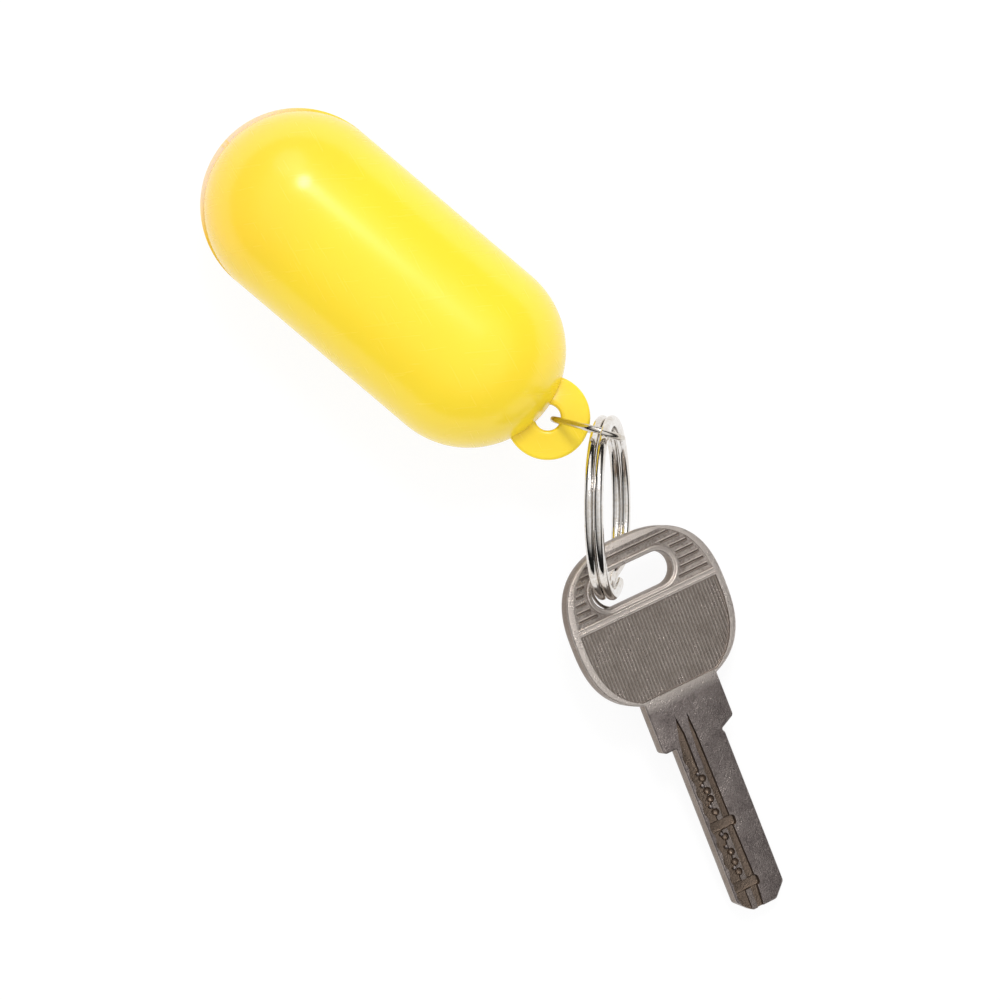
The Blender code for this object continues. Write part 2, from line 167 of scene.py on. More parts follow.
BUMP_DROP = 1.3
BUMPS = (0.0345, 0.0363, 0.0394, 0.0436, 0.0455, 0.0487)
CROSS_CUT_LEFT = -0.0035
CROSS_CUT_RIGHT = 0.0005
CROSS_CUT_LENGTH = 0.0015
CROSS_CUT_DEPTH = 0.0008
CROSS_CUT_CORNER = 0.0005
CROSS_CUT_TIGHT_CORNER = 0.0004
CROSS_CUT_EDGE = 0.00018
CROSS_CUTS = (0.0416, 0.0507)
PIT_X = -0.00182
PIT_RADIUS = 0.00058
PITS = (0.0353, 0.0372, 0.0384, 0.0404, 0.0441, 0.0464, 0.0479, 0.0494)
WAVE_TOP = 0.0310
WAVE_DEPTH = 0.00016
WAVE_LENGTH = 0.0026
WAVE_STEPS = 8

# Colours: red, green, blue and, where it is fixed, alpha
BODY_YELLOW = (0.98, 0.72, 0.030, 1)
# painted shade: the float's far end drawn darker and more orange
SHADED_END_YELLOW = (0.97, 0.60, 0.045, 1)
# painted reflection: pale beige on the lower shell's rim near the far end
RIM_REFLECTION_BEIGE = (0.80, 0.66, 0.50, 1)
LINK_NICKEL = (0.70, 0.67, 0.63)
RING_NICKEL = (0.80, 0.78, 0.76)
TARNISH_TINT = (0.80, 0.74, 0.66)
BOW_SILVER = (0.58, 0.515, 0.47, 1)
BOW_STAIN = (0.25, 0.21, 0.185, 1)
CREST_SILVER = (0.68, 0.61, 0.56, 1)
BLADE_SILVER = (0.33, 0.285, 0.268, 1)
BLADE_STAIN = (0.15, 0.125, 0.12, 1)
FIELD_BROWN = (0.29, 0.245, 0.215, 1)
GROOVE_BROWN = (0.21, 0.16, 0.125, 1)
FLOOR_PAPER = (0.86, 0.86, 0.87, 1)
WHITE = (1, 1, 1, 1)

# Where the finishes change: lengths from the far end, from the seam and below the key's face
# painted shade: length from the far end over which the orange fades into the body yellow
END_SHADE_REACH = 0.020
# painted reflection: where the pale band below the seam begins and fades, in height and from the
# far end
PALE_RIM_FADE = 0.00004
PALE_RIM_FOOT = 0.0006
PALE_RIM_BODY = 0.0002
PALE_RIM_FULL = 0.0022
PALE_RIM_REACH = 0.0066
RUBBED_DEPTH = 0.00018
CREST_WEAR_FOOT = 0.00009
CREST_WEAR_TOP = 0.00002
BOW_TONE_FADE = 0.002
SPECK_SHARE = 0.45
SCRATCH_TURNS = (0.35, -0.8)

# The photograph's view
VIEW_CENTRE = Vector((-0.0024, -0.0021, 0.013))
VIEW_WIDTH = 0.136
VIEW_TURN = math.radians(40.3)
CAMERA_HEIGHT = 0.60
CAMERA_NEAR = 0.01
SENSOR = 36.0

# Lamps: name, place from the float's far end to the picture's right, up and towards the
# camera, radius, watts and colour
LAMPS = (
    ("key light", (0.055, 0.281, 0.527), 0.08, 1.1, (1.0, 0.98, 0.95)),
    ("top fill", (-0.115, 0.517, 0.376), 0.20, 0.5, (1.0, 1.0, 1.0)),
)
SOFT_LIGHT = 0.92
FLOOR_SIZE = 6
FLOOR_GLOW = 1.05
FLOOR_GLOW_SHARE = 0.84

# Modelling
ARC_STEP = math.radians(9)
MERGE = 1e-6
TINY = 1e-5
SMOOTH_ANGLE = 40
KEY_SMOOTH_ANGLE = 32
picture_right = Vector((math.cos(VIEW_TURN), math.sin(VIEW_TURN), 0))
picture_up = Vector((-math.sin(VIEW_TURN), math.cos(VIEW_TURN), 0))


# Modelling helpers

def only(piece):
    """Make one object the selected and active one."""
    bpy.ops.object.select_all(action="DESELECT")
    piece.select_set(True)
    bpy.context.view_layer.objects.active = piece
    return piece


def new_piece(name):
    """Name the object that an operator has just added."""
    piece = bpy.context.object
    piece.name = name
    piece.data.name = name
    return only(piece)


def apply_place(piece):
    only(piece)
    bpy.ops.object.transform_apply(location=True, rotation=True, scale=True)


def choose(piece, kind, test):
    """In edit mode, select the faces or edges whose middle passes the test, and nothing else."""
    bpy.ops.mesh.select_mode(type=kind)
    bpy.ops.mesh.select_all(action="DESELECT")
    shape = bmesh.from_edit_mesh(piece.data)
    if kind == "FACE":
        for face in shape.faces:
            face.select_set(test(face.calc_center_median(), face))
    else:
        for edge in shape.edges:
            edge.select_set(test((edge.verts[0].co + edge.verts[1].co) / 2, edge))
    bmesh.update_edit_mesh(piece.data)


def apply_modifiers(piece):
    only(piece)
    for modifier in list(piece.modifiers):
        bpy.ops.object.modifier_apply(modifier=modifier.name)


def combine(piece, other, operation):
    """Join or cut with another closed object, and remove it."""
    step = piece.modifiers.new(operation, "BOOLEAN")
    step.operation = operation
    step.object = other
    step.solver = "EXACT"
    apply_modifiers(piece)
    bpy.data.objects.remove(other, do_unlink=True)


def tidy_mesh(piece):
    """Merge doubled points and turn the faces outwards."""
    only(piece)
    bpy.ops.object.mode_set(mode="EDIT")
    bpy.ops.mesh.select_all(action="SELECT")
    bpy.ops.mesh.remove_doubles(threshold=MERGE)
    bpy.ops.mesh.normals_make_consistent(inside=False)
    bpy.ops.object.mode_set(mode="OBJECT")


def smooth(piece, angle):
    only(piece)
    bpy.ops.object.shade_smooth_by_angle(angle=math.radians(angle))


def rounded(corners):
    """A closed outline from (x, y, radius) corners, each rounded by an arc."""
    outline = []
    count = len(corners)
    for number, (x, y, radius) in enumerate(corners):
        here = Vector((x, y))
        before = (Vector(corners[number - 1][:2]) - here).normalized()
        after = (Vector(corners[(number + 1) % count][:2]) - here).normalized()
        half_angle = before.angle(after) / 2
        turn = math.pi - 2 * half_angle
        if radius <= 0 or turn < TINY:
            outline.append(here)
            continue
        centre = here + (before + after).normalized() * (radius / math.sin(half_angle))
        start = here + before * (radius / math.tan(half_angle)) - centre
        sign = 1 if before.cross(after) < 0 else -1
        steps = max(1, round(turn / ARC_STEP))
        for step in range(steps + 1):
            bend = Matrix.Rotation(sign * turn * step / steps, 2)
            outline.append(centre + bend @ start)
    return outline


def curve_object(name, runs, closed, **settings):
    """A curve of straight-sided runs of points."""
    data = bpy.data.curves.new(name, "CURVE")
    data.dimensions = "3D"
    for key, value in settings.items():
        setattr(data, key, value)
    for run in runs:
        line = data.splines.new("POLY")
        line.points.add(len(run) - 1)
        for point, place in zip(line.points, run):
            point.co = (*Vector(place).to_3d(), 1)
        line.use_cyclic_u = closed
    drawn = bpy.data.objects.new(name, data)
    bpy.context.scene.collection.objects.link(drawn)
    return drawn


def curve_piece(name, runs, closed, **settings):
    """A curve made a mesh, with the bevelled or round sides that its settings give."""
    only(curve_object(name, runs, closed, **settings))
    bpy.ops.object.convert(target="MESH")
    piece = bpy.context.object
    tidy_mesh(piece)
    return piece


def plate(name, outlines, low, high, edge):
    """A plate with rounded edges, from one outline and any holes in it."""
    piece = curve_piece(
        name, outlines, True, dimensions="2D", fill_mode="BOTH", extrude=(high - low) / 2 - edge,
        bevel_depth=edge, bevel_resolution=2, offset=-edge,
    )
    piece.location.z = (low + high) / 2
    apply_place(piece)
    return piece


def bars(name, runs, radius, closed=False):
    """Round bars along runs of points."""
    return curve_piece(
        name, runs, closed, bevel_depth=radius, bevel_resolution=2, use_fill_caps=True,
    )


# Shader nodes

def node(tree, kind, inputs=(), **settings):
    """Add a node and set its fields. Each input takes a fixed value or a socket to link."""
    made = tree.nodes.new(kind)
    for key, value in settings.items():
        setattr(made, key, value)
    for key, value in dict(inputs).items():
        if isinstance(value, bpy.types.NodeSocket):
            tree.links.new(value, made.inputs[key])
        else:
            made.inputs[key].default_value = value
    return made


def noise(tree, **inputs):
    return node(tree, "ShaderNodeTexNoise", inputs).outputs["Fac"]


def maths(tree, operation, *values):
    return node(tree, "ShaderNodeMath", dict(enumerate(values)),
                operation=operation).outputs["Value"]


def ramp(tree, value, low, high, start=0.0, end=1.0, **settings):
    """A value's run from low to high, drawn out to run from start to end."""
    return node(tree, "ShaderNodeMapRange", {
        "Value": value, "From Min": low, "From Max": high, "To Min": start, "To Max": end,
    }, **settings).outputs["Result"]


def blend(tree, share, first, second):
    """A colour between two colours."""
    return node(tree, "ShaderNodeMix", {0: share, 6: first, 7: second},
                data_type="RGBA").outputs[2]


def between(tree, share, first, second):
    """A number between two numbers."""
    return node(tree, "ShaderNodeMix", {0: share, 2: first, 3: second},
                data_type="FLOAT").outputs[0]


def bumped(tree, height, strength, distance):
    return node(tree, "ShaderNodeBump", {
        "Height": height, "Strength": strength, "Distance": distance,
    }).outputs["Normal"]


# Shader groups

def group(name, sockets):
    """An empty shader group with named (name, kind, way, value) sockets."""
    tree = bpy.data.node_groups.new(name, "ShaderNodeTree")
    for label, kind, way, value in sockets:
        socket = tree.interface.new_socket(name=label, in_out=way, socket_type=f"NodeSocket{kind}")
        if value is not None:
            socket.default_value = value
    return tree, tree.nodes.new("NodeGroupInput"), tree.nodes.new("NodeGroupOutput")


def mottle_group():
    """Blotches and fine specks of tarnish: a mask from 0, clean, to 1, dull."""
    tree, start, end = group("tarnish blotches", (
        ("Vector", "Vector", "INPUT", None),
        ("Blotch Scale", "Float", "INPUT", 300.0),
        ("Speck Scale", "Float", "INPUT", 2600.0),
        ("Mask", "Float", "OUTPUT", None),
    ))
    place = start.outputs["Vector"]
    blotch = noise(tree, Vector=place, Scale=start.outputs["Blotch Scale"],
                   Detail=5.0, Roughness=0.62)
    speck = noise(tree, Vector=place, Scale=start.outputs["Speck Scale"],
                  Detail=3.0, Roughness=0.7)
    mask = between(tree, SPECK_SHARE, ramp(tree, blotch, 0.40, 0.62),
                   ramp(tree, speck, 0.44, 0.64))
    tree.links.new(mask, end.inputs["Mask"])
    return tree


def scratch_group():
    """Hairline scratches in two directions, as a height for a Bump node."""
    tree, start, end = group("hairline scratches", (
        ("Vector", "Vector", "INPUT", None),
        ("Scale", "Float", "INPUT", 400.0),
        ("Stretch", "Vector", "INPUT", (1.0, 14.0, 1.0)),
        ("Height", "Float", "OUTPUT", None),
    ))
    heights = []
    for turn in SCRATCH_TURNS:
        place = node(tree, "ShaderNodeVectorRotate", {
            "Vector": start.outputs["Vector"], "Angle": turn,
        }, rotation_type="Z_AXIS")
        drawn = node(tree, "ShaderNodeVectorMath", {
            0: place.outputs["Vector"], 1: start.outputs["Stretch"],
        }, operation="MULTIPLY")
        lines = noise(tree, Vector=drawn.outputs["Vector"], Scale=start.outputs["Scale"],
                      Detail=2.0)
        heights.append(ramp(tree, lines, 0.56, 0.70))
    tree.links.new(maths(tree, "MAXIMUM", *heights), end.inputs["Height"])
    return tree


def tarnish(tree, blotches, place, blotch_scale, speck_scale):
    return node(tree, "ShaderNodeGroup", {
        "Vector": place, "Blotch Scale": blotch_scale, "Speck Scale": speck_scale,
    }, node_tree=blotches).outputs["Mask"]


def hairlines(tree, scratches, place, scale):
    return node(tree, "ShaderNodeGroup", {"Vector": place, "Scale": scale},
                node_tree=scratches).outputs["Height"]


# Materials

def material(name):
    """A new material, its tree, and the place on the piece that its patterns follow."""
    made = bpy.data.materials.new(name)
    made.use_nodes = True
    tree = made.node_tree
    tree.nodes.clear()
    return made, tree, node(tree, "ShaderNodeTexCoord").outputs["Object"]


def coat(tree, inputs):
    """Finish a material with its shader."""
    shader = node(tree, "ShaderNodeBsdfPrincipled", inputs)
    node(tree, "ShaderNodeOutputMaterial", {"Surface": shader.outputs["BSDF"]})


def float_plastic(scratches):
    """Glossy moulded yellow, with painted shade making it more orange at the far end, and a painted
    pale reflection on the lower shell's rim there.
    """
    made, tree, spot = material("float_plastic")
    across = node(tree, "ShaderNodeSeparateXYZ", {"Vector": spot})
    along, height = across.outputs["X"], across.outputs["Z"]
    end = lower_low.x
    # painted shade: darker orange towards the far end, fading into the body yellow
    tone = blend(tree, ramp(tree, along, end, end + END_SHADE_REACH), SHADED_END_YELLOW, BODY_YELLOW)
    # painted reflection: a pale band just below the seam on the lower shell, near the far end
    rim_top = ramp(tree, height, float_radius, float_radius + PALE_RIM_FADE, 1.0, 0.0)
    rim_foot = ramp(tree, height, float_radius - PALE_RIM_FOOT, float_radius - PALE_RIM_BODY)
    rim_end = ramp(tree, along, end + PALE_RIM_FULL, end + PALE_RIM_REACH, 1.0, 0.0)
    rim_reflection = maths(tree, "MULTIPLY", maths(tree, "MULTIPLY", rim_top, rim_foot), rim_end)
    marks = hairlines(tree, scratches, spot, 150.0)
    coat(tree, {
        "Base Color": blend(tree, rim_reflection, tone, RIM_REFLECTION_BEIGE),
        "Roughness": ramp(tree, marks, 0.0, 1.0, 0.25, 0.28),
        "Normal": bumped(tree, marks, 0.02, 0.00003),
        "IOR": 1.49,
        "Coat Weight": 0.12,
        "Coat Roughness": 0.12,
        "Subsurface Weight": 0.12,
        "Subsurface Radius": (0.004, 0.003, 0.0005),
        "Subsurface Scale": 0.6,
    })
    return made


def plated_steel(name, scratches, blotches, colour, clean_roughness, dull_roughness):
    """Bright nickel plate with fine wear marks and a faint warm tarnish."""
    made, tree, spot = material(name)
    marks = hairlines(tree, scratches, spot, 700.0)
    stain = tarnish(tree, blotches, spot, 420.0, 2400.0)
    warm = tuple(part * tint for part, tint in zip(colour, TARNISH_TINT))
    coat(tree, {
        "Base Color": blend(tree, stain, (*colour, 1), (*warm, 1)),
        "Roughness": ramp(tree, stain, 0.0, 1.0, clean_roughness, dull_roughness),
        "Normal": bumped(tree, marks, 0.12, 0.00002),
        "Metallic": 1.0,
    })
    return made


def key_metal(scratches, blotches, place):
    """Worn nickel silver: bright on the high spots, brown in the hollows, specked all over."""
    made, tree, spot = material("key_metal")
    own = node(tree, "ShaderNodeMapping", {
        "Vector": spot, "Location": place.to_translation(), "Rotation": place.to_euler(),
    }, vector_type="TEXTURE").outputs["Vector"]
    local = node(tree, "ShaderNodeSeparateXYZ", {"Vector": own})
    level = maths(tree, "ABSOLUTE", local.outputs["Z"])
    face = KEY_THICKNESS / 2
    above_grooves = ramp(tree, level, face - GROOVE_DEPTH, face - FIELD_DEPTH)
    above_field = ramp(tree, level, face - FIELD_DEPTH, face - RUBBED_DEPTH)
    crest = ramp(tree, level, face - CREST_WEAR_FOOT, face - CREST_WEAR_TOP)
    bow = ramp(tree, local.outputs["Y"], -FIELD_FOOT - BOW_TONE_FADE, -FIELD_FOOT)
    stain = tarnish(tree, blotches, own, 330.0, 3200.0)
    handled = blend(tree, crest, blend(tree, stain, BOW_SILVER, BOW_STAIN), CREST_SILVER)
    surface = blend(tree, bow, blend(tree, stain, BLADE_SILVER, BLADE_STAIN), handled)
    hollow = blend(tree, above_field, FIELD_BROWN, surface)
    grain = noise(tree, Vector=own, Scale=4200.0, Detail=3.0, Roughness=0.7)
    marks = maths(tree, "MULTIPLY", hairlines(tree, scratches, own, 420.0), 0.15)
    coat(tree, {
        "Base Color": blend(tree, above_grooves, GROOVE_BROWN, hollow),
        "Roughness": ramp(tree, stain, 0.0, 1.0, 0.26, 0.46),
        "Normal": bumped(tree, maths(tree, "SUBTRACT", grain, marks), 0.9, 0.00009),
        "Metallic": 1.0,
    })
    return made


def finish_piece(piece, body, node_name, finish, angle):
    """Give a finished piece its material and its body, and hide the node that it stands for."""
    piece.data.materials.clear()
    piece.data.materials.append(finish)
    smooth(piece, angle)
    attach(piece, body)
    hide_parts(node_name)


# The float

def capsule(name, far):
    """A closed round-ended bar: a ball parted at its middle, its halves drawn apart and bridged."""
    near = joint_at["link_swing"].x - LUG_REACH
    bpy.ops.mesh.primitive_uv_sphere_add(
        segments=FLOAT_SEGMENTS, ring_count=FLOAT_RINGS, radius=float_radius,
        rotation=(0, math.pi / 2, 0),
    )
    body = new_piece(name)
    apply_place(body)
    length = near - far - 2 * float_radius
    bpy.ops.object.mode_set(mode="EDIT")
    choose(body, "FACE", lambda middle, face: middle.x > 0)
    bpy.ops.mesh.split()
    bpy.ops.transform.translate(value=(length, 0, 0))
    choose(body, "EDGE", lambda middle, edge: edge.is_boundary)
    bpy.ops.mesh.bridge_edge_loops(number_cuts=BODY_CUTS)
    bpy.ops.object.mode_set(mode="OBJECT")
    body.location = (far + float_radius, float_y, float_radius)
    apply_place(body)
    return body


def half_shell(name, far, above):
    """One half of the float: the capsule cut at the seam, given its wall and a soft rim."""
    shell = capsule(name, far)
    side = 1 if above else -1
    seam = float_radius + side * SEAM_GAP / 2
    bpy.ops.object.mode_set(mode="EDIT")
    bpy.ops.mesh.select_all(action="SELECT")
    bpy.ops.mesh.bisect(
        plane_co=(0, 0, seam), plane_no=(0, 0, 1), clear_inner=above, clear_outer=not above,
    )
    bpy.ops.object.mode_set(mode="OBJECT")
    wall = shell.modifiers.new("wall", "SOLIDIFY")
    wall.thickness = FLOAT_WALL
    wall.offset = -1
    wall.use_even_offset = True
    apply_modifiers(shell)
    middle = Vector(((lower_low.x + joint_at["link_swing"].x) / 2, float_y))
    half_body = (joint_at["link_swing"].x - LUG_REACH - far) / 2 - float_radius

    def outer_rim(place, edge):
        if abs(place.z - seam) > TINY or abs((edge.verts[0].co - edge.verts[1].co).z) > TINY:
            return False
        along = max(0.0, abs(place.x - middle.x) - half_body)
        return math.hypot(along, place.y - middle.y) > float_radius - FLOAT_WALL / 3

    bpy.ops.object.mode_set(mode="EDIT")
    choose(shell, "EDGE", outer_rim)
    bpy.ops.mesh.bevel(offset=SEAM_ROUND, segments=3, affect="EDGES")
    bpy.ops.object.mode_set(mode="OBJECT")
    return shell


def lug(name, extra):
    """The flat eye: a disc inset to its boss and hole, bridged through, with soft edges."""
    bpy.ops.mesh.primitive_cylinder_add(
        vertices=LUG_SIDES, radius=LUG_RADIUS + extra, depth=LUG_THICKNESS + 2 * extra,
    )
    eye = new_piece(name)
    if extra == 0:
        bpy.ops.object.mode_set(mode="EDIT")
        choose(eye, "FACE", lambda middle, face: abs(face.normal.z) > 0.9)
        bpy.ops.mesh.inset(thickness=LUG_RADIUS - LUG_BOSS)
        bpy.ops.mesh.inset(thickness=LUG_BOSS_RISE * 2)
        bpy.ops.transform.resize(value=(1, 1, 1 + 2 * LUG_BOSS_RISE / LUG_THICKNESS))
        bpy.ops.mesh.inset(thickness=LUG_BOSS - LUG_HOLE - LUG_BOSS_RISE * 2)
        bpy.ops.mesh.bridge_edge_loops()
        rim_height = LUG_THICKNESS / 2

        def sharp_rim(place, edge):
            level = abs(edge.verts[0].co.z - edge.verts[1].co.z) < TINY
            out = max(point.co.xy.length for point in edge.verts)
            around = abs(edge.verts[0].co.xy.length - edge.verts[1].co.xy.length) < TINY
            edge_of_disc = out > LUG_RADIUS - TINY or out < LUG_HOLE + TINY
            return level and around and edge_of_disc and abs(place.z) > rim_height - TINY

        choose(eye, "EDGE", sharp_rim)
        bpy.ops.mesh.bevel(offset=LUG_EDGE, segments=5, affect="EDGES")
        bpy.ops.object.mode_set(mode="OBJECT")
    eye.location = joint_at["link_swing"]
    apply_place(eye)
    return eye


def make_float(plastic):
    upper = half_shell("float_upper_skin", upper_low.x, True)
    combine(upper, lug("lug notch", LUG_NOTCH), "DIFFERENCE")
    lower = half_shell("float_lower_skin", lower_low.x, False)
    combine(lower, lug("lug", 0), "UNION")
    finish_piece(upper, "float", "float_upper_shell", plastic, SMOOTH_ANGLE)
    finish_piece(lower, "float", "float_lower_shell", plastic, SMOOTH_ANGLE)


# The link and the split ring

def ring_axes():
    """The ring's level, rising and axial directions."""
    level = Vector((math.cos(RING_HEADING), math.sin(RING_HEADING), 0))
    leaning = Vector((0, 0, 1)).cross(level)
    rising = Vector((0, 0, math.cos(RING_LEAN))) + leaning * math.sin(RING_LEAN)
    return level, rising, level.cross(rising)


def ring_centre():
    """The ring's centre, from the point where the link holds it."""
    level, rising, _ = ring_axes()
    middle = RING_RADIUS - RING_BAND / 2
    held = level * math.cos(LINK_ON_RING) + rising * math.sin(LINK_ON_RING)
    return joint_at["ring_swing"] - held * middle


def make_link(steel):
    """The oval wire, its two ends a little out of line where it is closed."""
    heading = Vector((math.cos(LINK_HEADING), math.sin(LINK_HEADING), 0))
    aside = Vector((0, 0, 1)).cross(heading)
    near = joint_at["link_swing"] + heading * (LUG_RADIUS + LUG_HOLE) / 2
    far = joint_at["ring_swing"]
    along = (far - near).normalized()
    across = along.cross(aside).normalized()
    radius = LINK_BEND_RADIUS + LINK_WIRE / 2
    quarter = math.pi / 2
    bends = (
        (far, LINK_JOINT + LINK_JOINT_GAP / 2, quarter),
        (near, quarter, 3 * quarter),
        (far, 3 * quarter, 4 * quarter + LINK_JOINT - LINK_JOINT_GAP / 2),
    )
    points = []
    for middle, start, end in bends:
        steps = max(1, round((end - start) / LINK_STEP))
        for step in range(steps + 1):
            angle = start + (end - start) * step / steps
            points.append(middle + (along * math.cos(angle) + across * math.sin(angle)) * radius)
    last = len(points) - 1
    reach = round(LINK_SPREAD_REACH / LINK_STEP)
    for number, point in enumerate(points):
        from_start = max(0.0, 1 - number / reach)
        from_end = max(0.0, 1 - (last - number) / reach)
        ease = from_start ** 2 * (3 - 2 * from_start) - from_end ** 2 * (3 - 2 * from_end)
        point += aside * ease * LINK_SPREAD
    link = curve_piece("link_wire", [points], False, bevel_depth=LINK_WIRE / 2,
                       bevel_resolution=7, use_fill_caps=True)
    finish_piece(link, "link", "connecting_link", steel, SMOOTH_ANGLE)


def make_ring(steel):
    """Two coils of flat wire side by side, with one crossing between them."""
    half_band, half_coil = RING_BAND / 2, RING_COIL / 2
    section = rounded([
        (half_band, half_coil, RING_EDGE), (half_band, -half_coil, RING_EDGE),
        (-half_band, -half_coil, RING_EDGE), (-half_band, half_coil, RING_EDGE),
    ])
    guide = curve_object("ring section", [section], True, dimensions="2D")
    middle = RING_RADIUS - half_band
    pitch = RING_COIL + RING_COIL_GAP
    first = RING_CROSSING_SPAN + half_coil / (2 * RING_RADIUS)
    last = 4 * math.pi - first
    steps = round((last - first) / RING_STEP)
    points = []
    for step in range(steps + 1):
        angle = first + (last - first) * step / steps
        through = (angle - 2 * math.pi) / RING_CROSSING_SPAN
        rise = math.sin(math.pi / 2 * max(-1.0, min(1.0, through)))
        clock = angle + RING_CROSSING
        points.append((middle * math.cos(clock), middle * math.sin(clock), pitch / 2 * rise))
    ring = curve_piece("ring_coil", [points], False, bevel_mode="OBJECT", bevel_object=guide,
                       twist_mode="Z_UP", use_fill_caps=True)
    bpy.data.objects.remove(guide, do_unlink=True)
    ring.matrix_world = Matrix.Translation(ring_centre()) @ Matrix(
        ring_axes()).transposed().to_4x4()
    apply_place(ring)
    finish_piece(ring, "ring", "split_ring", steel, SMOOTH_ANGLE)


# The key

def key_place():
    """The key's matrix: held in its slot by the ring, the tip's lower corner on the table."""
    held = joint_at["key_swing"]
    grip = Vector((SLOT_X + RING_IN_SLOT_X, RING_IN_SLOT_Y - SLOT_CENTRE, 0))
    corner = Vector((BLADE_WIDTH / 2, TIP_CHAMFER - KEY_LENGTH, -KEY_THICKNESS / 2))
    down = math.sin(KEY_ROLL)
    upright = math.cos(KEY_ROLL)
    drop = held.z - KEY_LIFT - down * (corner.x - grip.x) + upright * corner.z
    pitch = drop / (grip.y - corner.y)
    up = Vector((-down, pitch, math.sqrt(1 - down ** 2 - pitch ** 2)))
    tilt = up.rotation_difference(Vector((0, 0, 1))).to_matrix()
    tipward = tilt @ Vector((0, -1, 0))
    turn = KEY_HEADING - math.atan2(tipward.y, tipward.x)
    turned = Matrix.Rotation(turn, 3, "Z") @ tilt
    return Matrix.Translation(held - turned @ grip) @ turned.to_4x4()


def bow_edge():
    """The bow's squared round from the left of its foot over the top to the right."""
    half_width, half_length = BOW_WIDTH / 2, BOW_LENGTH / 2
    power = 2 / BOW_SQUARENESS
    foot = math.acos((SHANK_WIDTH / 2 / half_width) ** (1 / power))
    start, end = math.pi + foot, -foot
    edge = []
    for step in range(BOW_STEPS + 1):
        angle = start + (end - start) * step / BOW_STEPS
        across, up = math.cos(angle), math.sin(angle)
        x = math.copysign(abs(across) ** power, across) * half_width
        y = math.copysign(abs(up) ** power, up) * half_length
        edge.append((x, y - half_length, 0))
    return edge


def bow_half_width(y):
    """Half the bow's width at a height y below its top."""
    up = min(1.0, abs((y + BOW_LENGTH / 2) / (BOW_LENGTH / 2)))
    return BOW_WIDTH / 2 * (1 - up ** BOW_SQUARENESS) ** (1 / BOW_SQUARENESS)


def bow_foot(x):
    """How low the bow's outline lies at a distance x from its middle."""
    out = min(1.0, abs(x) / (BOW_WIDTH / 2))
    return -BOW_LENGTH / 2 * (1 + (1 - out ** BOW_SQUARENESS) ** (1 / BOW_SQUARENESS))


def key_outline():
    """Bow, shoulder with its slanted step, and blade to the chamfered tip."""
    shank, blade = SHANK_WIDTH / 2, BLADE_WIDTH / 2
    return rounded(bow_edge() + [
        (shank, -SHANK_RIGHT_END, SHANK_CORNER),
        (blade - SHANK_NOTCH, -SHANK_STEP_END, SHANK_NOTCH),
        (blade, -SHANK_STEP_END - SHANK_CORNER, SHANK_NOTCH),
        (blade, TIP_CHAMFER - KEY_LENGTH, TIP_CORNER),
        (blade - TIP_CHAMFER, -KEY_LENGTH, TIP_CORNER),
        (TIP_CHAMFER - blade, -KEY_LENGTH, TIP_CORNER),
        (-blade, TIP_CHAMFER - KEY_LENGTH, TIP_CORNER),
        (-blade, -SHANK_LEFT_END, SHANK_NOTCH),
        (-shank, -SHANK_LEFT_END, SHANK_CORNER),
    ])


def slot_outline(extra):
    half_length, half_width = SLOT_LENGTH / 2 + extra, SLOT_WIDTH / 2 + extra
    return rounded([
        (SLOT_X + x * half_length, -SLOT_CENTRE + y * half_width, half_width - TINY)
        for x, y in ((1, 1), (1, -1), (-1, -1), (-1, 1))
    ])


def band_outline(top, foot, border):
    """The part of the bow between two heights, inside its border."""
    right = []
    for step in range(BAND_STEPS + 1):
        y = -top + (top - foot) * step / BAND_STEPS
        right.append((max(border, bow_half_width(y) - border), y))
    return right + [(-x, y) for x, y in reversed(right)]


def face_bars(face):
    """Runs of points for the collar, the two dividing bars and the ribs, just at the face."""
    collar = [(*point, face) for point in slot_outline(COLLAR_REACH)]
    dividers = []
    for height in BARS:
        reach = bow_half_width(-height) - BOW_BORDER
        dividers.append([(-reach, -height, face), (reach, -height, face)])
    floor = face - FIELD_DEPTH - SINK
    ribs = []
    count = int((BOW_WIDTH / 2 - BOW_BORDER - RIB_END_GAP) / RIB_PITCH)
    for number in range(-count, count + 1):
        x = number * RIB_PITCH
        low = max(-FIELD_FOOT, bow_foot(abs(x) + BOW_BORDER)) + RIB_END_GAP
        ribs.append([(x, -FIELD_TOP - RIB_END_GAP, floor), (x, low, floor)])
    return collar, dividers, ribs


def high_spots(name, face):
    """The small round high spots left beside the land between the grooves."""
    spots = []
    for place in BUMPS:
        bpy.ops.mesh.primitive_uv_sphere_add(
            segments=20, ring_count=10, radius=BUMP_RADIUS,
            location=(BUMP_X, -place, face - BUMP_RADIUS * BUMP_DROP),
        )
        spot = new_piece(f"{name} high spot")
        apply_place(spot)
        spots.append(spot)
    return spots


def head_lines(face, shift):
    """Runs for the lines across the bow's head, stopping at the slot's collar."""
    runs = []
    clear = SLOT_WIDTH / 2 + 2 * COLLAR_REACH
    for number in range(LINE_COUNT):
        y = shift - LINE_FIRST - number * LINE_PITCH
        reach = bow_half_width(y) - BOW_BORDER - LINE_RADIUS * 2
        offset = abs(y + SLOT_CENTRE)
        if offset >= clear:
            runs.append([(-reach, y, face), (reach, y, face)])
            continue
        stop = (SLOT_LENGTH - SLOT_WIDTH) / 2 + math.sqrt(clear ** 2 - offset ** 2)
        for start, end in ((-reach, SLOT_X - stop), (SLOT_X + stop, reach)):
            if end - start > 4 * LINE_RADIUS:
                runs.append([(start, y, face), (end, y, face)])
    return runs


